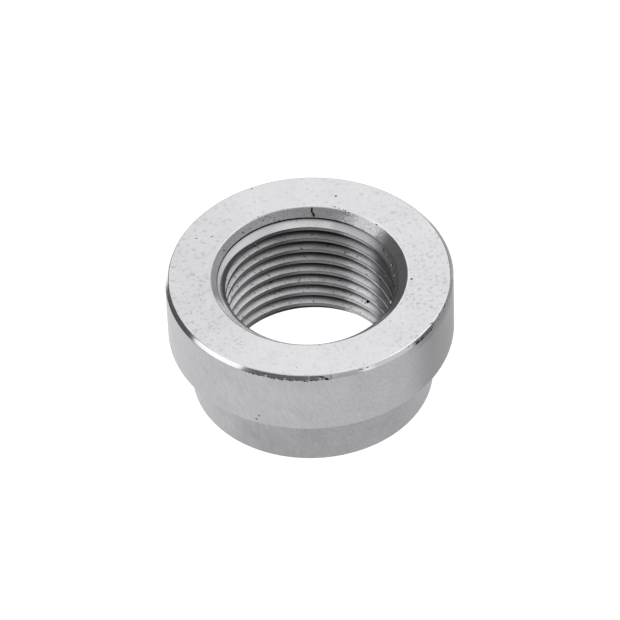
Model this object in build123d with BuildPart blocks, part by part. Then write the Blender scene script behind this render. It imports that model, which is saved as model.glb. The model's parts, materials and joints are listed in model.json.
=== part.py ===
from build123d import *
from build123d.topology import SkipClean

import os
from math import radians, tan

# Weld bung for an exhaust oxygen sensor, turned from one piece of bar.
# Millimetres. The origin is the centre of the spigot's end face, which goes into the pipe,
# and +Z runs up the thread's axis, towards the sensor.

# Flange, which stays outside the pipe
flange_diameter = 28.0
flange_thickness = 7.0
rim_chamfer = 0.3

# Spigot, which stands in the pipe's hole
spigot_diameter = 23.8
spigot_length = 6.5
spigot_chamfer = 0.2

# M18 x 1.5 right-hand thread, cut right through
thread_diameter = 18.0
thread_pitch = 1.5
flank_angle = 30.0
# Depth of the first groove's upper edge under the flange's face, on the +Y side
thread_start = 0.4

# Countersinks at the two ends of the thread, both at 45 degrees
mouth_diameter = 19.1
exit_diameter = 18.1

# How far the thread's cutter stands inside the crests
cutter_clearance = 0.25

height = spigot_length + flange_thickness
flange_radius = flange_diameter / 2
spigot_radius = spigot_diameter / 2
mouth_radius = mouth_diameter / 2
exit_radius = exit_diameter / 2

# Internal thread form: a sharp triangle, cut off by an eighth of the pitch at the root
# and by a quarter of it at the crest
flank_slope = tan(radians(flank_angle))
root_radius = thread_diameter / 2
root_flat = thread_pitch / 8
crest_flat = thread_pitch / 4
groove_depth = (thread_pitch - root_flat - crest_flat) / (2 * flank_slope)
crest_radius = root_radius - groove_depth
cutter_radius = crest_radius - cutter_clearance
cutter_half_width = root_flat / 2 + (root_radius - cutter_radius) * flank_slope

# The wall and the groove are made a quarter of a turn at a time,
# so that every strip of crest and flank is a short face
quarters = 4
quarter_angle = 360 / quarters
quarter_rise = thread_pitch / quarters

with BuildPart() as quarter_blank:
    with BuildSketch(Plane.XZ) as section:
        with BuildLine():
            Polyline(
                (crest_radius, exit_radius - crest_radius),
                (exit_radius, 0),
                (spigot_radius - spigot_chamfer, 0),
                (spigot_radius, spigot_chamfer),
                (spigot_radius, spigot_length),
                (flange_radius, spigot_length),
                (flange_radius, height - rim_chamfer),
                (flange_radius - rim_chamfer, height),
                (mouth_radius, height),
                (crest_radius, height - (mouth_radius - crest_radius)),
                close=True,
            )
        make_face()
    revolve(axis=Axis.Z, revolution_arc=quarter_angle)

with BuildPart() as groove_quarter:
    with BuildLine() as lead:
        Helix(pitch=thread_pitch, height=quarter_rise, radius=root_radius)
    with BuildSketch(Plane.XZ) as groove_section:
        with BuildLine():
            Polyline(
                (cutter_radius, -cutter_half_width),
                (root_radius, -root_flat / 2),
                (root_radius, root_flat / 2),
                (cutter_radius, cutter_half_width),
                close=True,
            )
        make_face()
    sweep(sections=groove_section.sketch, path=lead.line, is_frenet=True)

# The groove's middle on the +Y side, then a quarter turn back to where the first quarter starts on +X
groove_top = height - thread_start - (thread_pitch - crest_flat) / 2
first_quarter = groove_top - quarter_rise
turns_below = int(height / thread_pitch) + 2
turns_above = 2
groove_places = [
    Location((0, 0, first_quarter + quarter_rise * step), (0, 0, quarter_angle * step))
    for step in range(-quarters * turns_below, quarters * turns_above)
]

# Like faces are left unmerged, as cleaning would join the crest's quarters into one strip of many turns
with SkipClean():
    with BuildPart() as weld_bung:
        with PolarLocations(0, quarters):
            add(quarter_blank.part, clean=False)
        with Locations(*groove_places):
            add(groove_quarter.part, mode=Mode.SUBTRACT, clean=False)

os.makedirs("parts", exist_ok=True)
weld_bung.part.label = "weld_bung"
export_step(weld_bung.part, "parts/weld_bung.step")
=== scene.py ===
"""The looks of a steel weld bung for an oxygen sensor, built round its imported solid.

Sections and cutters are drawn in millimetres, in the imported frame: the origin is the centre of the
spigot's end face and +Z runs up the thread's axis. The finished mesh is scaled to metres once. The
camera stands on the -Y side.
"""

import json
import logging
from dataclasses import dataclass
from enum import IntEnum
from math import atan2, cos, degrees, hypot, pi, radians, sin, sqrt, tan
from random import Random

import bmesh
import bpy
from mathutils import Matrix, Vector, noise
from mathutils.bvhtree import BVHTree


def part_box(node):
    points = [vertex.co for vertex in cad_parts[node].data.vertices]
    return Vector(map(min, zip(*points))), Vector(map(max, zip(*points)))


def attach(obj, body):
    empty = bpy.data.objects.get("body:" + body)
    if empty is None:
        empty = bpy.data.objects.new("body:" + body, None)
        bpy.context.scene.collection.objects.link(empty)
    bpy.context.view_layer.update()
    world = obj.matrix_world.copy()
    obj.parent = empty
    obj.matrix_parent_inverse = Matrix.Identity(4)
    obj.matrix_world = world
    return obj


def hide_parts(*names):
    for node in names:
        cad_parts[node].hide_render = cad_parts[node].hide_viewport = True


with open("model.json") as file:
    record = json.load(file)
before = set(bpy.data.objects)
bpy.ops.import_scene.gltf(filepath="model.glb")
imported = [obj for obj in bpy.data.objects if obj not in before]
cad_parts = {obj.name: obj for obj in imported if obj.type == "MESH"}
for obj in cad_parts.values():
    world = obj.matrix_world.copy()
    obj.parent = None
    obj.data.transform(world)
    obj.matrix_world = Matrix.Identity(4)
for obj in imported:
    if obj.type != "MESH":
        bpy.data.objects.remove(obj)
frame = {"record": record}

MM = 0.001
NODE = "weld_bung"
IMAGE_SIDE = 620
Socket = bpy.types.NodeSocket

log = logging.getLogger("weld_bung")


class Zone(IntEnum):
    """The surfaces of the bung that are finished apart; each number is that finish's material slot."""

    TOP_FACE = 0
    EDGE = 1
    RIM = 2
    FLANGE_WALL = 3
    SHOULDER = 4
    SPIGOT_WALL = 5
    END_FACE = 6
    COUNTERSINK = 7
    CREST = 8
    FLANK = 9
    UNDERSIDE = 10
    ROOT = 11
    PIT = 12
    BEAD = 13
    LIP = 14
    FOOT = 15
    FIRST_FLANK = 16


def mount(record: dict, name: str) -> dict:
    """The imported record's entry of one mount, with its place and its dimensions."""
    return next(m for m in record["mounts"] if m["name"] == name)


def new_object(name: str, data: bpy.types.ID) -> bpy.types.Object:
    """Links a mesh, a light or a camera into the scene.

    Args:
        name: The object's name.
        data: What it shows.

    Returns:
        The new object, at the origin.
    """
    made = bpy.data.objects.new(name, data)
    bpy.context.scene.collection.objects.link(made)
    return made


def object_from(bm: bmesh.types.BMesh, name: str) -> bpy.types.Object:
    """Turns a bmesh into an object and frees it.

    Args:
        bm: The finished bmesh.
        name: The name of the mesh and the object.

    Returns:
        The new object.
    """
    mesh = bpy.data.meshes.new(name)
    bm.to_mesh(mesh)
    bm.free()
    return new_object(name, mesh)


def apply_modifiers(body: bpy.types.Object) -> None:
    """Works an object's modifiers into its mesh.

    Args:
        body: The object.
    """
    graph = bpy.context.evaluated_depsgraph_get()
    result = bpy.data.meshes.new_from_object(body.evaluated_get(graph))
    body.modifiers.clear()
    old, body.data = body.data, result
    bpy.data.meshes.remove(old)


def clean(body: bpy.types.Object) -> None:
    """Merges the specks of edges that a cut leaves behind, so that the next cut meets a sound mesh.

    Args:
        body: The object, in mm.
    """
    speck = 2e-4
    bm = bmesh.new()
    bm.from_mesh(body.data)
    bmesh.ops.remove_doubles(bm, verts=bm.verts, dist=speck)
    bmesh.ops.dissolve_degenerate(bm, edges=bm.edges, dist=speck)
    bm.to_mesh(body.data)
    bm.free()


def combine(body: bpy.types.Object, other: bpy.types.Object, operation: str) -> None:
    """Cuts another object out of a body, or joins it on, and deletes the other object.

    Args:
        body: The object that is changed.
        other: The cutter or the added piece. Its faces keep their material slots.
        operation: DIFFERENCE or UNION.
    """
    step = body.modifiers.new(operation.lower(), "BOOLEAN")
    step.operation = operation
    step.solver = "EXACT"
    step.object = other
    apply_modifiers(body)
    clean(body)
    bpy.data.meshes.remove(other.data)


@dataclass
class Photograph:
    """The photograph's view of the bung: where its camera stood, and how a pixel falls on the object."""

    elevation: float = radians(45.12)
    distance: float = 482.8
    roll: float = radians(2.21)
    pixels_per_mm: float = 10.214
    aimed_height: float = 6.5
    aimed_x: float = 311.1
    aimed_y: float = 325.6
    sensor_width: float = 36.0

    @property
    def forward(self) -> Vector:
        """The way the camera looks."""
        return Vector((0, cos(self.elevation), -sin(self.elevation)))

    @property
    def right(self) -> Vector:
        """The photograph's rightward direction."""
        upright = Vector((0, sin(self.elevation), cos(self.elevation)))
        return Vector((1, 0, 0)) * cos(self.roll) - upright * sin(self.roll)

    @property
    def up(self) -> Vector:
        """The photograph's upward direction."""
        return self.right.cross(self.forward)

    @property
    def aimed_point(self) -> Vector:
        """The point on the thread's axis that the size was fitted at, in mm."""
        return Vector((0, 0, self.aimed_height))

    @property
    def place(self) -> Vector:
        """The camera's place in mm."""
        return self.aimed_point - self.forward * self.distance

    def ray(self, x: float, y: float) -> Vector:
        """The direction in which a pixel looks.

        Args:
            x: Pixels from the photograph's left edge.
            y: Pixels from its top edge.

        Returns:
            A unit vector from the camera.
        """
        across = (x - self.aimed_x) / self.pixels_per_mm
        down = (y - self.aimed_y) / self.pixels_per_mm
        aim = self.forward * self.distance + self.right * across - self.up * down
        return aim.normalized()

    def make_camera(self) -> bpy.types.Object:
        """Stands the camera where the photograph was taken from.

        Returns:
            The camera, set as the scene's own.
        """
        data = bpy.data.cameras.new("camera")
        data.sensor_width = self.sensor_width
        data.lens = self.sensor_width * self.pixels_per_mm * self.distance / IMAGE_SIDE
        data.clip_start = 0.01
        data.clip_end = 20
        camera = new_object("camera", data)
        middle = IMAGE_SIDE / 2
        back = -self.ray(middle, middle)
        right = self.right - back * self.right.dot(back)
        right.normalize()
        turn = Matrix((right, back.cross(right), back)).transposed()
        camera.matrix_world = Matrix.Translation(self.place * MM) @ turn.to_4x4()
        bpy.context.scene.camera = camera
        return camera


@dataclass
class Thread:
    """The M18 x 1.5 right-hand thread, as the screw-shaped core that is cut out of the bung."""

    height: float
    crest_radius: float
    root_radius: float = 9.0
    pitch: float = 1.5
    start_depth: float = 0.4
    crest_flat: float = 0.375
    root_flat: float = 0.1875
    crest_round: float = 0.05
    root_round: float = 0.045
    columns: int = 288

    @property
    def groove_middle(self) -> float:
        """The height of the first groove's middle on the +X side."""
        half_groove = (self.pitch - self.crest_flat) / 2
        return self.height - self.start_depth - half_groove - self.pitch / 4

    def core(self) -> bpy.types.Object:
        """Spins the screw-shaped core, one pitch higher after each turn, and closes its ends.

        Returns:
            The core, which stands out of both ends of the bung.
        """
        past_end = 1.0
        crest_steps, root_steps = 3, 2
        bm = bmesh.new()
        lowest = -past_end - 2 * self.pitch
        first = int((lowest - self.groove_middle) / self.pitch) - 1
        last = int((self.height + past_end - self.groove_middle) / self.pitch) + 2
        half_mouth = (self.pitch - self.crest_flat) / 2
        half_root = self.root_flat / 2
        crests, roots, line = [], [], []
        for turn in range(first, last):
            middle = self.groove_middle + turn * self.pitch
            ridge = [
                bm.verts.new((self.crest_radius, 0, middle - half_mouth)),
                bm.verts.new((self.root_radius, 0, middle - half_root)),
                bm.verts.new((self.root_radius, 0, middle + half_root)),
                bm.verts.new((self.crest_radius, 0, middle + half_mouth)),
            ]
            crests += [ridge[0], ridge[3]]
            roots += ridge[1:3]
            line += ridge
        for below, above in zip(line, line[1:]):
            bm.edges.new((below, above))
        round_corners(bm, crests[1:-1], self.crest_round, crest_steps)
        round_corners(bm, roots, self.root_round, root_steps)
        spin_quarters(bm, self.columns, self.pitch)
        for end, way in ((-past_end, -1), (self.height + past_end, 1)):
            everything = bm.verts[:] + bm.edges[:] + bm.faces[:]
            cut = bmesh.ops.bisect_plane(
                bm, geom=everything, dist=1e-5, plane_co=(0, 0, end), plane_no=(0, 0, way), clear_outer=True
            )
            rim = [e for e in cut["geom_cut"] if isinstance(e, bmesh.types.BMEdge)]
            bmesh.ops.contextual_create(bm, geom=rim)
        bmesh.ops.recalc_face_normals(bm, faces=bm.faces)
        for face in bm.faces:
            face.material_index = self.zone_at(face.calc_center_median(), face.normal)
            face.smooth = True
        return object_from(bm, "thread_core")

    def zone_at(self, place: Vector, outward: Vector) -> Zone:
        """The zone that a face of the core leaves in the steel.

        Args:
            place: The face's centre.
            outward: The core's normal there, which points into the steel.

        Returns:
            The zone.
        """
        slack = 0.03
        first_depth = 2.05
        upright = 0.7
        radius = hypot(place.x, place.y)
        if radius > self.root_radius - slack:
            return Zone.ROOT
        if radius < self.crest_radius + slack and abs(outward.z) < upright:
            return Zone.CREST
        if outward.z > 0:
            return Zone.UNDERSIDE
        # The first turn's flank gets its own, lighter finish: painted light
        return Zone.FIRST_FLANK if place.z > self.height - first_depth else Zone.FLANK


def round_corners(bm: bmesh.types.BMesh, corners: list, reach: float, segments: int) -> None:
    """Rounds corners of a section before it is spun.

    Args:
        bm: The bmesh that holds the section.
        corners: The corner vertices.
        reach: How far the round reaches along the lines on both sides, in mm.
        segments: How many edges the round has.
    """
    bmesh.ops.bevel(
        bm, geom=corners, offset=reach, offset_type="OFFSET", segments=segments, profile=0.5,
        affect="VERTICES", material=-1,
    )


def spin_quarters(bm: bmesh.types.BMesh, columns: int, rise: float) -> None:
    """Spins the section in a bmesh round the Z axis: a quarter of a turn, repeated and joined up.

    Args:
        bm: The bmesh, which holds the section on the +X side.
        columns: How many columns of faces the full turn has.
        rise: How far a full turn climbs, in mm.
    """
    quarters = 4
    joined_within = 2e-3
    quarter_turn = 2 * pi / quarters
    bmesh.ops.spin(
        bm, geom=bm.verts[:] + bm.edges[:], axis=(0, 0, 1), cent=(0, 0, 0), dvec=(0, 0, rise / columns),
        angle=quarter_turn, steps=columns // quarters, use_merge=False,
    )
    first = bm.verts[:] + bm.edges[:] + bm.faces[:]
    for quarter in range(1, quarters):
        copy = bmesh.ops.duplicate(bm, geom=first)["geom"]
        verts = [item for item in copy if isinstance(item, bmesh.types.BMVert)]
        turn = Matrix.Rotation(quarter * quarter_turn, 3, "Z")
        bmesh.ops.rotate(bm, cent=(0, 0, 0), matrix=turn, verts=verts)
        bmesh.ops.translate(bm, vec=(0, 0, rise * quarter / quarters), verts=verts)
    bmesh.ops.remove_doubles(bm, verts=bm.verts, dist=joined_within)


def between(start: tuple, end: tuple, parts: int) -> list:
    """Plain section points that divide a straight run, so that small marks in it get small faces.

    Args:
        start: The run's first radius and height.
        end: Its last.
        parts: How many equal parts it gets.

    Returns:
        The points inside the run, none of them rounded.
    """
    shares = [step / parts for step in range(1, parts)]
    return [(start[0] + (end[0] - start[0]) * t, start[1] + (end[1] - start[1]) * t, 0, 1) for t in shares]


@dataclass
class Bung:
    """The bung's own sizes in mm, and the steps that turn, tap, finish and dress it."""

    height: float
    flange_radius: float
    spigot_radius: float
    shoulder_height: float
    crest_radius: float
    mouth_radius: float = 9.55
    exit_radius: float = 9.05
    rim_chamfer: float = 0.3
    spigot_chamfer: float = 0.2
    core_clearance: float = 0.3
    edge_round: float = 0.06
    spigot_edge_round: float = 0.05
    inner_corner_round: float = 0.08
    flange_foot_round: float = 0.1
    rim_foot_round: float = 0.03
    mouth_round: float = 0.08
    columns: int = 512
    rim_swell: float = 0.06
    rim_widest_at: float = radians(220)
    rim_waviness: float = 0.012
    ragged_drop: float = 0.1
    ragged_middle: float = radians(263)
    ragged_half: float = radians(16)
    rim_row: float = 0.25

    def section(self) -> list:
        """The turned section, anticlockwise from the lower countersink's inner end.

        Returns:
            A radius, a height, the reach of the edge's round and its segments, for each corner.
        """
        bore = self.crest_radius - self.core_clearance
        wall, top, shoulder = self.flange_radius, self.height, self.shoulder_height
        spigot, broken = self.spigot_radius, self.spigot_chamfer
        rim_foot, rim_top = top - self.rim_chamfer, wall - self.rim_chamfer
        row_foot, row_top = rim_foot - self.rim_row, rim_top - self.rim_row
        sunk = top - (self.mouth_radius - bore)
        fine, coarse = 3, 2
        return [
            (bore, self.exit_radius - bore, 0, 1),
            (self.exit_radius, 0, self.edge_round, fine),
            (spigot - broken, 0, self.spigot_edge_round, coarse),
            (spigot, broken, self.spigot_edge_round, coarse),
            *between((spigot, broken), (spigot, shoulder), parts=5),
            (spigot, shoulder, self.inner_corner_round, fine),
            (wall, shoulder, self.flange_foot_round, fine),
            *between((wall, shoulder), (wall, row_foot), parts=6),
            (wall, row_foot, 0, 1),
            (wall, rim_foot, self.rim_foot_round, coarse),
            (rim_top, top, self.edge_round, fine),
            (row_top, top, 0, 1),
            *between((row_top, top), (self.mouth_radius, top), parts=8),
            (self.mouth_radius, top, self.mouth_round, fine),
            *between((self.mouth_radius, top), (bore, sunk), parts=6),
            (bore, sunk, 0, 1),
        ]

    def blank(self) -> bpy.types.Object:
        """Turns the blank: both countersinks and a bore a little smaller than the thread's crests.

        Returns:
            The blank, with each face in its zone's slot.
        """
        bm = bmesh.new()
        corners = self.section()
        line = [bm.verts.new((radius, 0, height)) for radius, height, _, _ in corners]
        for start, end in zip(line, line[1:] + line[:1]):
            bm.edges.new((start, end))
        for vertex, (_, _, reach, segments) in zip(line, corners):
            if reach:
                round_corners(bm, [vertex], reach, segments)
        spin_quarters(bm, self.columns, 0)
        bmesh.ops.recalc_face_normals(bm, faces=bm.faces)
        for face in bm.faces:
            face.smooth = True
            face.material_index = self.zone_at(face.calc_center_median(), face.normal)
        self.swell_rim(bm)
        return object_from(bm, NODE + "_steel")

    def swell_rim(self, bm: bmesh.types.BMesh) -> None:
        """Widens the rim's chamfer on one side, as if cut off centre, and makes its foot wavy and torn.

        Args:
            bm: The turned blank.
        """
        rim, reach = self.rim_chamfer, 0.1
        wave_length = 3.0
        for vertex in bm.verts:
            radius = hypot(vertex.co.x, vertex.co.y)
            drop = self.height - vertex.co.z
            if drop > rim + reach or radius < self.flange_radius - rim - reach:
                continue
            out = Vector((vertex.co.x, vertex.co.y, 0)) / radius
            around = atan2(out.y, out.x) - self.rim_widest_at
            swell = self.rim_swell * (1 + cos(around)) / 2
            swell += noise.noise(out * self.flange_radius / wave_length) * self.rim_waviness
            share = min(1.0, drop / rim)
            vertex.co -= out * (swell * (1 - share))
            vertex.co.z -= (swell + self.raggedness(out)) * share

    def raggedness(self, out: Vector) -> float:
        """How far the chamfer's foot is torn down where the rim is battered.

        Args:
            out: The unit vector from the axis.

        Returns:
            The drop in mm.
        """
        torn_length, mostly_torn, faded_ends = 0.45, 0.1, 0.25
        middle = Vector((cos(self.ragged_middle), sin(self.ragged_middle), 0))
        inside = (out.dot(middle) - cos(self.ragged_half)) / (1 - cos(self.ragged_half))
        if inside < 0:
            return 0.0
        tear = noise.noise(out * self.flange_radius / torn_length) + mostly_torn
        return self.ragged_drop * max(0.0, tear) * min(1.0, inside / faded_ends)

    def zone_at(self, place: Vector, normal: Vector) -> Zone:
        """The zone that a face of the blank belongs to.

        Args:
            place: The face's centre.
            normal: Its normal.

        Returns:
            The zone.
        """
        slack, corner = 0.02, 0.08
        level, sloped, steep, rounded_under = 0.998, 0.8, 0.5, -0.3
        radius = hypot(place.x, place.y)
        if place.z > self.shoulder_height + corner:
            if normal.z > level:
                return Zone.TOP_FACE
            if normal.z > sloped:
                return Zone.LIP if radius < self.spigot_radius else Zone.EDGE
            if radius < self.mouth_radius + slack:
                return Zone.COUNTERSINK
            return Zone.RIM if normal.z > steep else Zone.FLANGE_WALL
        if radius < self.exit_radius - slack:
            return Zone.COUNTERSINK
        if normal.z < -level:
            return Zone.SHOULDER if radius > self.spigot_radius else Zone.END_FACE
        if radius > self.flange_radius - corner:
            # The rounded foot under the flange gets a dark finish of its own: painted shade
            return Zone.FOOT if normal.z < rounded_under else Zone.FLANGE_WALL
        return Zone.SPIGOT_WALL

    def build(self, thread: Thread) -> bpy.types.Object:
        """Turns and taps the bung.

        Args:
            thread: The thread to cut.

        Returns:
            The tapped steel, still in mm.
        """
        steel = self.blank()
        combine(steel, thread.core(), "DIFFERENCE")
        return steel

    def finish_mesh(self, steel: bpy.types.Object) -> None:
        """Marks the sharp edges between zones, evens the shading and scales the mesh to metres.

        Args:
            steel: The cut object.
        """
        bm = bmesh.new()
        bm.from_mesh(steel.data)
        between_zones, anywhere = radians(8), radians(38)
        for edge in bm.edges:
            faces = edge.link_faces
            apart = len(faces) == 2 and faces[0].material_index != faces[1].material_index
            edge.smooth = edge.calc_face_angle(0) < (between_zones if apart else anywhere)
        bm.to_mesh(steel.data)
        bm.free()
        even = steel.modifiers.new("even_shading", "WEIGHTED_NORMAL")
        even.keep_sharp = True
        apply_modifiers(steel)
        steel.data.transform(Matrix.Scale(MM, 4))

    def dress(self, steel: bpy.types.Object) -> None:
        """Gives each zone its finish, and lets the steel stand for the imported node.

        Args:
            steel: The finished steel.
        """
        for zone in Zone:
            steel.data.materials.append(FINISHES[zone].material())
        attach(steel, "root")
        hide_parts(NODE)


@dataclass(frozen=True)
class Mark:
    """A nick, pit or bead, placed by the pixel where the photograph shows it. Lengths are in mm."""

    x: float
    y: float
    long: float
    wide: float
    deep: float
    lean: float = 0.0
    zone: Zone = Zone.PIT


@dataclass(frozen=True)
class Trail:
    """Small marks strung along a line of the photograph's pixels."""

    points: tuple
    count: int
    smallest: float
    largest: float
    spread: float = 0.6
    stretch: float = 1.6
    depth: float = 0.5
    zone: Zone = Zone.PIT

    def marks(self, dice: Random) -> list:
        """Throws the marks.

        Args:
            dice: The seeded random numbers.

        Returns:
            The marks, in order along the line.
        """
        runs = list(zip(self.points, self.points[1:]))
        margin, lean_spread = 0.1, 12
        made = []
        for step in range(self.count):
            along = (step + dice.uniform(margin, 1 - margin)) / self.count * len(runs)
            run = min(int(along), len(runs) - 1)
            (x0, y0), (x1, y1) = runs[run]
            share = along - run
            x = x0 + (x1 - x0) * share + dice.gauss(0, self.spread)
            y = y0 + (y1 - y0) * share + dice.gauss(0, self.spread)
            size = dice.uniform(self.smallest, self.largest)
            lean = degrees(atan2(y0 - y1, x1 - x0)) + dice.gauss(0, lean_spread)
            long = size * dice.uniform(1, self.stretch)
            made.append(Mark(x, y, long, size, size * self.depth, lean, self.zone))
        return made


@dataclass(frozen=True)
class Patch:
    """Small marks scattered over a round patch of the photograph's pixels."""

    x: float
    y: float
    half_width: float
    half_height: float
    count: int
    smallest: float
    largest: float
    stretch: float = 1.5
    depth: float = 0.25
    zone: Zone = Zone.PIT

    def marks(self, dice: Random) -> list:
        """Throws the marks.

        Args:
            dice: The seeded random numbers.

        Returns:
            The marks.
        """
        made = []
        for _ in range(self.count):
            turn, reach = dice.uniform(0, 2 * pi), sqrt(dice.random())
            x = self.x + self.half_width * reach * cos(turn)
            y = self.y + self.half_height * reach * sin(turn)
            size = dice.uniform(self.smallest, self.largest)
            long = size * dice.uniform(1, self.stretch)
            made.append(Mark(x, y, long, size, size * self.depth, dice.uniform(0, 180), self.zone))
        return made


@dataclass
class Wear:
    """The nicks, pits and beads of the steel: the clearest placed one by one, the finest thrown by chance."""

    photograph: Photograph
    seed: int = 18
    roughened: float = 0.16
    nicks: tuple = (
        Mark(311.8, 210.2, 0.66, 0.2, 0.2, 86),
        Mark(313.6, 214.6, 0.52, 0.24, 0.2, 110),
        Mark(376.5, 224.5, 0.3, 0.12, 0.06, 140),
        Mark(243.0, 232.5, 0.2, 0.16, 0.08, 30),
        Mark(249.5, 228.5, 0.14, 0.12, 0.06, 0),
        Mark(224.0, 250.5, 0.24, 0.14, 0.08, 160),
        Mark(368.6, 301.0, 0.56, 0.36, 0.22, 30),
        Mark(365.2, 303.0, 0.2, 0.14, 0.1, 0),
        Mark(321.6, 376.9, 0.7, 0.16, 0.08, 172),
        Mark(326.7, 379.0, 0.46, 0.26, 0.15, 165),
        Mark(361.0, 369.2, 0.5, 0.08, 0.05, 12),
        Mark(367.5, 367.4, 0.3, 0.08, 0.05, 14),
        Mark(417.7, 342.3, 0.62, 0.21, 0.12, 41),
        Mark(422.0, 338.8, 0.62, 0.21, 0.12, 41),
        Mark(408.5, 346.6, 0.24, 0.08, 0.05, 35),
        Mark(431.5, 330.2, 0.2, 0.14, 0.08, 40),
        Mark(256.4, 418.8, 0.3, 0.14, 0.08, 150),
        Mark(259.0, 415.4, 0.24, 0.1, 0.05, 160),
        Mark(336.0, 196.0, 0.26, 0.2, 0.06, 20),
        Mark(411.6, 279.0, 0.28, 0.2, 0.07, 20),
        Mark(196.5, 238.5, 0.3, 0.1, 0.05, 10),
        Mark(212.0, 236.5, 0.42, 0.1, 0.05, 40),
        Mark(252.0, 188.8, 0.3, 0.1, 0.05, 15),
    )
    trails: tuple = (
        Trail(
            ((247, 372), (262, 376.8), (285, 380.4), (308, 381.4), (324, 379.8)),
            36, 0.08, 0.16, 0.35, 2.0, 0.35,
        ),
        Trail(((448, 297), (444.5, 306), (438, 315.5), (431, 324)), 7, 0.08, 0.11, 0.2, 9.0, 0.4),
        Trail(((447, 307), (441.5, 316), (434.5, 325)), 5, 0.08, 0.11, 0.2, 9.0, 0.4),
        Trail(((332, 206.2), (340, 208.4), (349, 212)), 7, 0.08, 0.14, 0.3, 2.0, 0.4),
        Trail(((383.5, 249), (390, 259), (394, 270), (396, 284), (391.5, 298)), 10, 0.1, 0.18, 0.4, 5.0, 0.4),
    )
    patches: tuple = (
        Patch(268, 219, 14, 3.5, 16, 0.06, 0.13),
        Patch(290, 212, 12, 3, 5, 0.06, 0.1),
        Patch(264, 260, 9, 3, 8, 0.07, 0.14),
        Patch(236, 344, 9, 8, 12, 0.07, 0.16, 2.2, 0.25, Zone.TOP_FACE),
        Patch(236, 344, 8, 7, 6, 0.06, 0.1),
        Patch(212, 328, 7, 5, 5, 0.08, 0.15, 2.2, 0.25, Zone.TOP_FACE),
        Patch(252, 352, 18, 6, 4, 0.05, 0.08),
        Patch(311, 285, 138, 98, 30, 0.08, 0.16, 2.0, 0.3, Zone.TOP_FACE),
        Patch(196, 285, 20, 60, 20, 0.1, 0.2, 2.4, 0.25, Zone.TOP_FACE),
        Patch(424, 280, 16, 40, 12, 0.1, 0.2, 2.4, 0.25, Zone.TOP_FACE),
        Patch(311, 285, 138, 98, 12, 0.05, 0.08),
    )
    beads: tuple = (
        Mark(391.2, 301.8, 0.3, 0.28, 0.14, 0, Zone.BEAD),
        Mark(361.8, 301.2, 0.2, 0.16, 0.08, 0, Zone.BEAD),
        Mark(386.8, 255.2, 0.2, 0.12, 0.06, 120, Zone.BEAD),
        Mark(391.4, 265.2, 0.22, 0.12, 0.06, 110, Zone.BEAD),
        Mark(394.2, 276.0, 0.2, 0.12, 0.06, 95, Zone.BEAD),
        Mark(265.6, 375.9, 0.2, 0.14, 0.05, 0, Zone.EDGE),
        Mark(285.0, 378.9, 0.18, 0.12, 0.05, 0, Zone.EDGE),
    )

    def lump(self, bm: bmesh.types.BMesh, mark: Mark, surface: BVHTree) -> None:
        """Adds one mark's uneven lump, half in and half out of the steel.

        Args:
            bm: The bmesh that gathers the lumps.
            mark: The mark.
            surface: The steel that the mark lies on.
        """
        eye = self.photograph.place
        place, normal, _, _ = surface.ray_cast(eye, self.photograph.ray(mark.x, mark.y))
        if place is None:
            return
        waves_per_radius = 1.7
        lean = radians(mark.lean)
        along = self.photograph.right * cos(lean) + self.photograph.up * sin(lean)
        along = (along - normal * along.dot(normal)).normalized()
        axes = Matrix((along, normal.cross(along), normal)).transposed().to_4x4()
        made = bmesh.ops.create_icosphere(bm, subdivisions=2, radius=1.0)["verts"]
        for vertex in made:
            bump = noise.noise(vertex.co * waves_per_radius + place) * self.roughened
            vertex.co *= 1 + bump
        size = Matrix.Diagonal((mark.long / 2, mark.wide / 2, mark.deep, 1))
        bmesh.ops.transform(bm, matrix=Matrix.Translation(place) @ axes @ size, verts=made)
        for face in {face for vertex in made for face in vertex.link_faces}:
            face.material_index = mark.zone
            face.smooth = True

    def lumps(self, steel: bpy.types.Object, marks: list, name: str) -> bpy.types.Object:
        """Gathers the lumps of many marks in one object.

        Args:
            steel: The bung, in mm.
            marks: The marks, none of which may touch another.
            name: The object's name.

        Returns:
            The gathered lumps.
        """
        surface = BVHTree.FromObject(steel, bpy.context.evaluated_depsgraph_get())
        bm = bmesh.new()
        for mark in marks:
            self.lump(bm, mark, surface)
        return object_from(bm, name)

    def apart(self, mark: Mark, others: list) -> bool:
        """Whether a mark stays clear of others, judged in the photograph.

        Args:
            mark: The mark.
            others: The marks that are already placed.

        Returns:
            True if it touches none.
        """
        gap = 1.15
        for other in others:
            reach = (mark.long + other.long) / 2 * self.photograph.pixels_per_mm * gap
            if hypot(mark.x - other.x, mark.y - other.y) < reach:
                return False
        return True

    def apply(self, steel: bpy.types.Object) -> None:
        """Cuts the nicks and pits in layers whose marks don't touch, then adds the beads.

        Args:
            steel: The bung, in mm.
        """
        dice = Random(self.seed)
        layers = [[], []]
        for nick in self.nicks:
            layer = next((layer for layer in layers if self.apart(nick, layer)), None)
            if layer is not None:
                layer.append(nick)
        for group in (*self.trails, *self.patches):
            for mark in group.marks(dice):
                if all(self.apart(mark, layer) for layer in layers):
                    layers[0].append(mark)
        for number, layer in enumerate(layers):
            combine(steel, self.lumps(steel, layer, f"pits_{number}"), "DIFFERENCE")
        combine(steel, self.lumps(steel, list(self.beads), "beads"), "UNION")
        log.info("wear: %d nicks and pits, %d beads", sum(map(len, layers)), len(self.beads))


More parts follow.
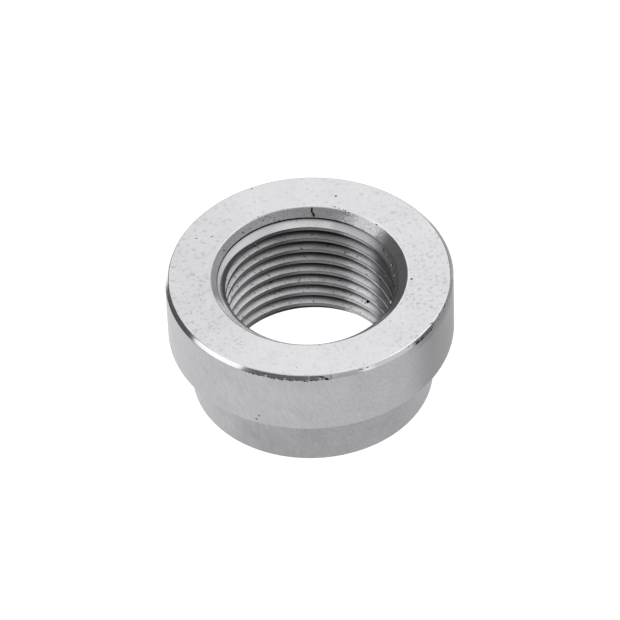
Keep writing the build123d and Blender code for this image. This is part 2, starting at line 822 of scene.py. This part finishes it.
class Graph:
    """A node tree, with short calls for the nodes that the finishes and the studio share."""

    def __init__(self, tree: bpy.types.NodeTree) -> None:
        """Starts from an emptied tree.

        Args:
            tree: The material's or the world's node tree.
        """
        self.tree = tree
        tree.nodes.clear()

    def node(self, kind: str, **settings: object) -> bpy.types.Node:
        """Adds a node.

        Args:
            kind: The node's type.
            settings: Its properties.

        Returns:
            The node.
        """
        made = self.tree.nodes.new(kind)
        for name, value in settings.items():
            setattr(made, name, value)
        return made

    def feed(self, socket: Socket, value: object) -> None:
        """Gives an input a link or a plain value.

        Args:
            socket: The input.
            value: An output socket, or what the input should hold.
        """
        if isinstance(value, Socket):
            self.tree.links.new(value, socket)
        else:
            socket.default_value = value

    def math(self, operation: str, *values: object) -> Socket:
        """Works out a number.

        Args:
            operation: The Math node's operation.
            values: Its inputs, numbers or sockets.

        Returns:
            The result.
        """
        made = self.node("ShaderNodeMath", operation=operation)
        for socket, value in zip(made.inputs, values):
            self.feed(socket, value)
        return made.outputs[0]

    def vector(self, x: object, y: object, z: object) -> Socket:
        """Joins three numbers into a vector.

        Args:
            x: The first number or socket.
            y: The second.
            z: The third.

        Returns:
            The vector.
        """
        made = self.node("ShaderNodeCombineXYZ")
        for socket, value in zip(made.inputs, (x, y, z)):
            self.feed(socket, value)
        return made.outputs[0]

    def noise(self, at: object, scale: float, detail: float = 2.0, rough: float = 0.5) -> Socket:
        """Samples a noise.

        Args:
            at: Where it is read.
            scale: How many features lie in one unit.
            detail: Its octaves.
            rough: How strong the fine octaves are.

        Returns:
            A value around 0.5.
        """
        made = self.node("ShaderNodeTexNoise")
        self.feed(made.inputs["Vector"], at)
        made.inputs["Scale"].default_value = scale
        made.inputs["Detail"].default_value = detail
        made.inputs["Roughness"].default_value = rough
        return made.outputs["Fac"]

    def vary(self, base: object, noise_value: object, reach: float) -> Socket:
        """Swings a base value with a noise around 0.5, by up to the reach each way."""
        return self.math("MULTIPLY_ADD", self.math("SUBTRACT", noise_value, 0.5), 2 * reach, base)

    def ramp(
        self, value: object, low: float, high: float, to_low: float = 0.0, to_high: float = 1.0
    ) -> Socket:
        """Maps a range smoothly onto another and stops at its ends.

        Args:
            value: The number that is mapped.
            low: Where the range starts.
            high: Where it ends.
            to_low: The result at its start.
            to_high: The result at its end.

        Returns:
            The mapped number.
        """
        made = self.node("ShaderNodeMapRange", interpolation_type="SMOOTHSTEP")
        self.feed(made.inputs["Value"], value)
        for name, limit in (("From Min", low), ("From Max", high), ("To Min", to_low), ("To Max", to_high)):
            made.inputs[name].default_value = limit
        return made.outputs[0]


@dataclass(frozen=True)
class Spot:
    """A point of the steel as sockets: its place in mm, its direction from the axis and the noises there."""

    at: Socket
    height: Socket
    radius: Socket
    side: Socket
    depth: Socket
    grain: Socket
    cloud: Socket
    rings: Socket


# Arcs mostly paint light and shade into a finish's tone, round the axis
@dataclass(frozen=True)
class Arc:
    """A stretch of the circumference that is brighter or darker. Angles are in degrees from +X."""

    middle: float
    half: float
    factor: float
    soft: float = 8.0
    above: float = -1.0
    above_soft: float = 0.3
    cloudy_border: float = 0.05
    grainy_border: float = 0.02

    def level(self, graph: Graph, spot: Spot) -> Socket:
        """The factor that the arc gives a point's brightness.

        Args:
            graph: The material's graph.
            spot: The point.

        Returns:
            1 outside the arc, and the arc's factor well inside it.
        """
        middle = radians(self.middle)
        across = graph.math("MULTIPLY", spot.depth, sin(middle))
        facing = graph.math("MULTIPLY_ADD", spot.side, cos(middle), across)
        facing = graph.vary(facing, spot.cloud, self.cloudy_border)
        facing = graph.vary(facing, spot.grain, self.grainy_border)
        start, full = cos(radians(self.half + self.soft)), cos(radians(self.half))
        change = graph.ramp(facing, start, full, 0.0, self.factor - 1)
        high_enough = graph.ramp(spot.height, self.above, self.above + self.above_soft)
        change = graph.math("MULTIPLY", change, high_enough)
        return graph.math("ADD", change, 1.0)


# Fades paint light and shade into a finish's tone, by height
@dataclass(frozen=True)
class Fade:
    """A change of brightness between two heights in mm."""

    low: float
    high: float
    low_factor: float
    high_factor: float

    def level(self, graph: Graph, spot: Spot) -> Socket:
        """The factor that the fade gives a point's brightness."""
        return graph.ramp(spot.height, self.low, self.high, self.low_factor, self.high_factor)


@dataclass(frozen=True)
class SteelFinish:
    """How one zone of the bare steel looks. Lengths are in mm and shades are linear."""

    name: str
    shade: float = 0.55
    blue: float = 1.03
    metallic: float = 1.0
    roughness: float = 0.35
    roughness_spread: float = 0.06
    anisotropy: float = 0.0
    grain_per_mm: float = 5.0
    grain_detail: float = 2.0
    fine_share: float = 0.6
    grain_shade: float = 0.05
    grain_depth: float = 0.004
    cloud_per_mm: float = 0.35
    cloud_shade: float = 0.04
    rings_per_mm: float = 8.0
    rings_detail: float = 3.0
    rings_breaks: float = 1.0
    rings_shade: float = 0.03
    rings_depth: float = 0.002
    speck_per_mm: float = 3.0
    speck_detail: float = 1.5
    speck_level: float = 0.7
    speck_share: float = 0.0
    speck_shade: float = 0.45
    speck_soft: float = 0.06
    speck_depth: float = 0.008
    speck_roughness: float = 0.2
    speck_sides: float = 0.0
    sides_from: float = 0.4
    sides_to: float = 1.0
    hatch_per_mm: float = 6.3
    hatch_squeeze: float = 0.12
    hatch_shade: float = 0.0
    hatch_depth: float = 0.0
    hatch_lean: float = 0.07
    # The next fields paint shade into the thread's depth, and ease it towards +X
    deep_shade_from: float = 0.0
    deep_shade_to: float = 0.0
    deep_shade_share: float = 0.0
    lit_side: float = 0.0
    lit_from: float = 0.34
    lit_to: float = 0.6
    lit_border: float = 0.1
    fades: tuple = ()
    arcs: tuple = ()
    noise_offset: tuple = (3.17, 7.31, 1.234)

    def spot(self, graph: Graph) -> Spot:
        """Finds where a point lies, and reads the noises off the planes where they would be flat.

        Args:
            graph: The material's graph.

        Returns:
            The point's sockets.
        """
        in_mm = graph.node("ShaderNodeMapping")
        in_mm.inputs["Scale"].default_value = (1 / MM,) * 3
        graph.feed(in_mm.inputs["Vector"], graph.node("ShaderNodeTexCoord").outputs["Object"])
        split = graph.node("ShaderNodeSeparateXYZ")
        graph.feed(split.inputs[0], in_mm.outputs[0])
        x, y, height = split.outputs
        squares = graph.math("ADD", graph.math("MULTIPLY", x, x), graph.math("MULTIPLY", y, y))
        radius = graph.math("SQRT", squares)
        side = graph.math("DIVIDE", x, radius)
        depth = graph.math("DIVIDE", y, radius)
        around = graph.vector(
            graph.math("MULTIPLY", side, self.rings_breaks),
            graph.math("MULTIPLY", depth, self.rings_breaks),
            graph.math("MULTIPLY", graph.math("ADD", radius, height), self.rings_per_mm),
        )
        off_plane = graph.node("ShaderNodeVectorMath", operation="ADD")
        graph.feed(off_plane.inputs[0], in_mm.outputs[0])
        off_plane.inputs[1].default_value = self.noise_offset
        at = off_plane.outputs[0]
        grain = graph.noise(at, self.grain_per_mm, self.grain_detail, self.fine_share)
        cloud = graph.noise(at, self.cloud_per_mm)
        rings = graph.noise(around, 1.0, self.rings_detail, self.fine_share)
        return Spot(at, height, radius, side, depth, grain, cloud, rings)

    def hatch(self, graph: Graph, spot: Spot) -> Socket:
        """The leaning streaks of a rough turned wall.

        Args:
            graph: The material's graph.
            spot: The point.

        Returns:
            A value around 0.5.
        """
        lean = graph.node("ShaderNodeVectorRotate", rotation_type="Z_AXIS")
        graph.feed(lean.inputs["Vector"], spot.at)
        graph.feed(lean.inputs["Angle"], graph.math("MULTIPLY", spot.height, self.hatch_lean))
        squeeze = graph.node("ShaderNodeMapping")
        squeeze.inputs["Scale"].default_value = (1, 1, self.hatch_squeeze)
        graph.feed(squeeze.inputs["Vector"], lean.outputs[0])
        return graph.noise(squeeze.outputs[0], self.hatch_per_mm, rough=self.fine_share)

    def specks(self, graph: Graph, spot: Spot) -> Socket:
        """The scattered dull specks, denser at both sides if the finish asks for that.

        Args:
            graph: The material's graph.
            spot: The point.

        Returns:
            1 in a speck and 0 outside it.
        """
        level = graph.noise(spot.at, self.speck_per_mm, self.speck_detail)
        if self.speck_sides:
            sideways = graph.ramp(graph.math("ABSOLUTE", spot.side), self.sides_from, self.sides_to)
            level = graph.math("MULTIPLY_ADD", sideways, self.speck_sides, level)
        start = self.speck_level - self.speck_share
        return graph.ramp(level, start, start + self.speck_soft)

    def deep_shade(self, graph: Graph, spot: Spot) -> Socket:
        """The painted shade in the thread's depth, thinner towards +X if the finish asks for that.

        Args:
            graph: The material's graph.
            spot: The point.

        Returns:
            The share of the brightness that the painted shade leaves.
        """
        depth_shade = graph.ramp(spot.radius, self.deep_shade_from, self.deep_shade_to)
        if self.lit_side:
            uneven = graph.vary(spot.side, spot.grain, self.lit_border)
            left = graph.ramp(uneven, self.lit_from, self.lit_to, 1.0, 1 - self.lit_side)
            depth_shade = graph.math("MULTIPLY", depth_shade, left)
        return graph.math("MULTIPLY_ADD", depth_shade, -self.deep_shade_share, 1.0)

    def shader(self, graph: Graph, tone: object, rough: object, relief: object) -> None:
        """Sets up the steel's shader and the material's output.

        Args:
            graph: The material's graph.
            tone: The brightness.
            rough: The roughness.
            relief: The height of the fine relief, in mm.
        """
        shader = graph.node("ShaderNodeBsdfPrincipled")
        shader.inputs["Metallic"].default_value = self.metallic
        shader.inputs["Anisotropic"].default_value = self.anisotropy
        if self.anisotropy:
            tangent = graph.node("ShaderNodeTangent", direction_type="RADIAL", axis="Z")
            graph.feed(shader.inputs["Tangent"], tangent.outputs[0])
        colour = graph.vector(tone, tone, graph.math("MULTIPLY", tone, self.blue))
        graph.feed(shader.inputs["Base Color"], colour)
        graph.feed(shader.inputs["Roughness"], rough)
        bump = graph.node("ShaderNodeBump")
        bump.inputs["Strength"].default_value = 1.0
        bump.inputs["Distance"].default_value = MM
        graph.feed(bump.inputs["Height"], relief)
        graph.feed(shader.inputs["Normal"], bump.outputs[0])
        output = graph.node("ShaderNodeOutputMaterial")
        graph.feed(output.inputs["Surface"], shader.outputs[0])

    def material(self) -> bpy.types.Material:
        """Builds the finish from noises in the object's own coordinates.

        Returns:
            The material.
        """
        made = bpy.data.materials.new(self.name)
        made.use_nodes = True
        graph = Graph(made.node_tree)
        spot = self.spot(graph)
        tone = graph.vary(self.shade, spot.grain, self.grain_shade)
        tone = graph.vary(tone, spot.cloud, self.cloud_shade)
        tone = graph.vary(tone, spot.rings, self.rings_shade)
        relief = graph.math("MULTIPLY", spot.grain, self.grain_depth)
        relief = graph.math("MULTIPLY_ADD", spot.rings, self.rings_depth, relief)
        rough = graph.vary(self.roughness, spot.grain, self.roughness_spread)
        if self.hatch_shade:
            hatch = self.hatch(graph, spot)
            tone = graph.vary(tone, hatch, self.hatch_shade)
            relief = graph.math("MULTIPLY_ADD", hatch, self.hatch_depth, relief)
        if self.speck_share:
            speck = self.specks(graph, spot)
            tone = graph.math("MULTIPLY_ADD", speck, -self.speck_shade * self.shade, tone)
            rough = graph.math("MULTIPLY_ADD", speck, self.speck_roughness, rough)
            relief = graph.math("MULTIPLY_ADD", speck, -self.speck_depth, relief)
        for change in (*self.fades, *self.arcs):
            tone = graph.math("MULTIPLY", tone, change.level(graph, spot))
        # Painted shade deep in the thread
        if self.deep_shade_share:
            tone = graph.math("MULTIPLY", tone, self.deep_shade(graph, spot))
        self.shader(graph, tone, rough, relief)
        return made


# What the two outer walls, the smooth edges and the faces deep in the thread have in common
WALL = dict(roughness=0.4, anisotropy=0.6, grain_shade=0.03, hatch_depth=0.01)
SMOOTH = dict(grain_depth=0.001, rings_depth=0.001)
# Deep in the thread the undersides and roots are painted nearly black: painted shade in the grooves, less of
# it towards +X
DEEP_IN_THREAD = dict(shade=0.5, deep_shade_from=8.0, deep_shade_to=8.1, arcs=(Arc(0, 36, 0.4, 12),))
FINISHES = {
    Zone.TOP_FACE: SteelFinish(
        "faced_top", shade=0.61, roughness=0.44, grain_detail=1.0, grain_depth=0.0015, rings_depth=0.0005,
        speck_per_mm=2.6, speck_share=0.17, speck_shade=0.08, speck_soft=0.34, speck_depth=0.0,
        speck_sides=0.05,
        arcs=(Arc(0, 25, 0.98, 40), Arc(180, 25, 0.94, 40)),
    ),
    # Painted shade: the edge is darker at 14 and 335 degrees
    Zone.EDGE: SteelFinish(
        "burnished_edge", shade=0.62, roughness=0.25, **SMOOTH,
        arcs=(Arc(14, 8, 0.35, 18), Arc(335, 20, 0.8)),
    ),
    # Painted shade: the rim is darker at 14 degrees
    Zone.RIM: SteelFinish("bright_rim", shade=0.78, roughness=0.14, **SMOOTH, arcs=(Arc(14, 8, 0.35, 14),)),
    # Painted shade: the wall is darker towards +X, and at 333 degrees near the top
    Zone.FLANGE_WALL: SteelFinish(
        "flange_wall", shade=0.4, hatch_shade=0.09, **WALL,
        arcs=(Arc(0, 32, 0.6, 21), Arc(333, 12, 0.78, 12, above=12.3)),
    ),
    # The shoulder is darker than the rest of the steel: painted shade under the flange
    Zone.SHOULDER: SteelFinish("shoulder", shade=0.33, roughness=0.4),
    # The spigot wall is a darker copy of the flange wall's steel, painted shade under the flange; it is
    # lighter at -X and a little at 320 degrees
    Zone.SPIGOT_WALL: SteelFinish(
        "spigot_wall", shade=0.302, hatch_shade=0.07, **WALL,
        arcs=(Arc(180, 32, 1.28, 34), Arc(320, 20, 1.07, 25)),
    ),
    Zone.END_FACE: SteelFinish("end_face", shade=0.5, roughness=0.4),
    # Painted light and shade on the countersink: a band of painted shade where it meets the thread, which the
    # second fade lifts back for the lower countersink, a painted highlight at 52 degrees, darker at +X and
    # lighter towards the left and front left
    Zone.COUNTERSINK: SteelFinish(
        "countersink", shade=0.44, metallic=0.5, roughness=0.4, anisotropy=0.3, grain_shade=0.14,
        speck_share=0.06, speck_shade=0.25,
        fades=(Fade(12.35, 12.75, 0.2, 1.0), Fade(6.0, 7.0, 5.0, 1.0)),
        arcs=(Arc(52, 8, 2.0, 8), Arc(0, 30, 0.5, 8), Arc(182, 20, 1.2, 12), Arc(228, 22, 2.5, 14)),
    ),
    # The crests are painted dark for the dim bore that they reflect: painted reflection, with a painted
    # highlight at 50 degrees, darker at 145 degrees and lighter on the first crest at the left
    Zone.CREST: SteelFinish(
        "thread_crest", shade=0.16, roughness=0.35, rings_shade=0.02, grain_shade=0.05,
        arcs=(Arc(50, 8, 2.5, 7), Arc(145, 35, 0.48, 20), Arc(190, 36, 2.8, 14, above=11.6)),
    ),
    # Painted light and shade on the flanks: darker towards the root, lighter down the bore, darker at +X and
    # at 73 degrees, a painted highlight at 52 degrees, lighter at 150 degrees
    Zone.FLANK: SteelFinish(
        "thread_flank", shade=0.66, roughness=0.48, grain_shade=0.21, rings_breaks=3.0, rings_shade=0.33,
        deep_shade_from=8.4, deep_shade_to=8.95, deep_shade_share=0.78, speck_share=0.05,
        fades=(Fade(1.0, 11.3, 1.45, 0.66),),
        arcs=(Arc(0, 31, 0.3, 16), Arc(52, 9, 1.15, 9), Arc(73, 8, 0.74, 9), Arc(150, 25, 1.28, 20)),
    ),
    # The first turn's flank is a lighter copy of the flank's finish: painted light, darker at +X, at 52
    # degrees and at 150 degrees
    Zone.FIRST_FLANK: SteelFinish(
        "first_flank", shade=0.74, roughness=0.48, grain_shade=0.12, rings_breaks=3.0, rings_shade=0.12,
        deep_shade_from=8.8, deep_shade_to=9.0, deep_shade_share=0.4,
        arcs=(Arc(0, 31, 0.3, 16), Arc(52, 11, 0.75, 9), Arc(150, 30, 0.72, 20)),
    ),
    Zone.UNDERSIDE: SteelFinish(
        "thread_underside", roughness=0.45, deep_shade_share=0.88, lit_side=0.75, **DEEP_IN_THREAD
    ),
    Zone.ROOT: SteelFinish("thread_root", roughness=0.5, deep_shade_share=0.96, lit_side=0.6, **DEEP_IN_THREAD),
    # The nicks and pits are painted nearly black: painted shade in their hollows
    Zone.PIT: SteelFinish("pit", shade=0.05, metallic=0.3, roughness=0.7),
    Zone.BEAD: SteelFinish("bead", shade=0.9, roughness=0.3),
    # Painted light and shade: the mouth's edge is darker at 150 degrees and lighter at 10 degrees
    Zone.LIP: SteelFinish(
        "mouth_lip", shade=0.6, roughness=0.3, **SMOOTH,
        arcs=(Arc(150, 40, 0.75, 15), Arc(10, 35, 1.3, 15)),
    ),
    # The flange's rounded foot is painted dark: a painted shade line under the flange's edge
    Zone.FOOT: SteelFinish("foot_edge", shade=0.24, roughness=0.4),
}


@dataclass(frozen=True)
class Softbox:
    """A rectangular light that faces the bung. Its place and both its sides are angles in degrees from the
    origin, with azimuth 0 at +X and 90 at +Y, and its distance is in metres.
    """

    name: str
    azimuth: float
    elevation: float
    width: float
    tall: float
    radiance: float
    distance: float = 1.2

    def light(self) -> None:
        """Hangs the softbox in the studio."""
        data = bpy.data.lights.new(self.name, "AREA")
        data.shape = "RECTANGLE"
        data.size = 2 * self.distance * tan(radians(self.width) / 2)
        data.size_y = 2 * self.distance * tan(radians(self.tall) / 2)
        data.energy = self.radiance * pi * data.size * data.size_y
        lamp = new_object(self.name, data)
        turn, lift = radians(self.azimuth), radians(self.elevation)
        way = Vector((cos(turn) * cos(lift), sin(turn) * cos(lift), sin(lift)))
        lamp.location = way * self.distance
        lamp.rotation_mode = "QUATERNION"
        lamp.rotation_quaternion = way.to_track_quat("Z", "Y")


@dataclass
class Studio:
    """A pale glowing table under the bung, and soft lights round it."""

    left_glow: float = 1.22
    right_glow: float = 1.0
    glow_reach: float = 0.025
    table_shade: float = 0.08
    table_roughness: float = 0.9
    table_gloss: float = 0.1
    table_side: float = 6.0
    room_low: float = 0.12
    room_high: float = 1.05
    room_low_to: float = 0.7
    room_high_from: float = 0.9
    softboxes: tuple = (
        Softbox("back softbox", azimuth=78, elevation=45, width=66, tall=52, radiance=1.15),
        Softbox("left softbox", azimuth=194, elevation=43, width=34, tall=39, radiance=1.2),
        Softbox("right softbox", azimuth=20, elevation=47, width=44, tall=34, radiance=0.95),
        Softbox("front reflector", azimuth=-30, elevation=38, width=34, tall=34, radiance=0.58),
        Softbox("front fill", azimuth=-64, elevation=43, width=32, tall=34, radiance=0.33),
        Softbox("near fill", azimuth=-105, elevation=43, width=48, tall=32, radiance=0.04),
        Softbox("low right fill", azimuth=20, elevation=11, width=60, tall=20, radiance=0.22),
    )

    def table(self) -> None:
        """Lays the table that the bung stands on."""
        bm = bmesh.new()
        bmesh.ops.create_grid(bm, x_segments=1, y_segments=1, size=self.table_side / 2)
        table = object_from(bm, "table")
        made = bpy.data.materials.new("pale_table")
        made.use_nodes = True
        graph = Graph(made.node_tree)
        shader = graph.node("ShaderNodeBsdfPrincipled")
        shader.inputs["Base Color"].default_value = (self.table_shade,) * 3 + (1,)
        shader.inputs["Roughness"].default_value = self.table_roughness
        shader.inputs["Specular IOR Level"].default_value = self.table_gloss
        shader.inputs["Emission Color"].default_value = (1, 1, 1, 1)
        split = graph.node("ShaderNodeSeparateXYZ")
        graph.feed(split.inputs[0], graph.node("ShaderNodeTexCoord").outputs["Object"])
        reach = self.glow_reach
        glow = graph.ramp(split.outputs[0], -reach, reach, self.left_glow, self.right_glow)
        graph.feed(shader.inputs["Emission Strength"], glow)
        output = graph.node("ShaderNodeOutputMaterial")
        graph.feed(output.inputs["Surface"], shader.outputs[0])
        table.data.materials.append(made)

    def room(self) -> None:
        """Lights the room from above, and far less towards the horizon."""
        world = bpy.data.worlds.new("room")
        bpy.context.scene.world = world
        world.use_nodes = True
        graph = Graph(world.node_tree)
        split = graph.node("ShaderNodeSeparateXYZ")
        graph.feed(split.inputs[0], graph.node("ShaderNodeTexCoord").outputs["Generated"])
        height = split.outputs[2]
        level = graph.ramp(height, self.room_low_to, self.room_high_from, self.room_low, self.room_high)
        sky = graph.node("ShaderNodeBackground")
        graph.feed(sky.inputs["Strength"], level)
        output = graph.node("ShaderNodeOutputWorld")
        graph.feed(output.inputs["Surface"], sky.outputs[0])

    def build(self) -> None:
        """Sets up the table, the room, the softboxes and the plain colour of the picture."""
        self.table()
        self.room()
        for softbox in self.softboxes:
            softbox.light()
        bpy.context.scene.view_settings.view_transform = "Standard"


def main() -> None:
    """Builds the bung, its studio and its camera."""
    logging.basicConfig(level=logging.INFO, format="%(name)s: %(message)s")
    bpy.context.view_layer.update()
    record = frame["record"]
    low, high = (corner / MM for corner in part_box(NODE))
    crest_radius = mount(record, "sensor_thread")["dims"]["r_mm"]
    bung = Bung(
        height=high.z - low.z,
        flange_radius=high.x,
        spigot_radius=mount(record, "weld_spigot")["dims"]["r_mm"],
        shoulder_height=mount(record, "weld_shoulder")["pos_m"][2] / MM,
        crest_radius=crest_radius,
    )
    thread = Thread(height=bung.height, crest_radius=crest_radius)
    steel = bung.build(thread)
    photograph = Photograph()
    Wear(photograph).apply(steel)
    bung.finish_mesh(steel)
    bung.dress(steel)
    log.info("steel: %d faces in %d finishes", len(steel.data.polygons), len(steel.data.materials))
    Studio().build()
    photograph.make_camera()


if __name__ == "__main__":
    main()
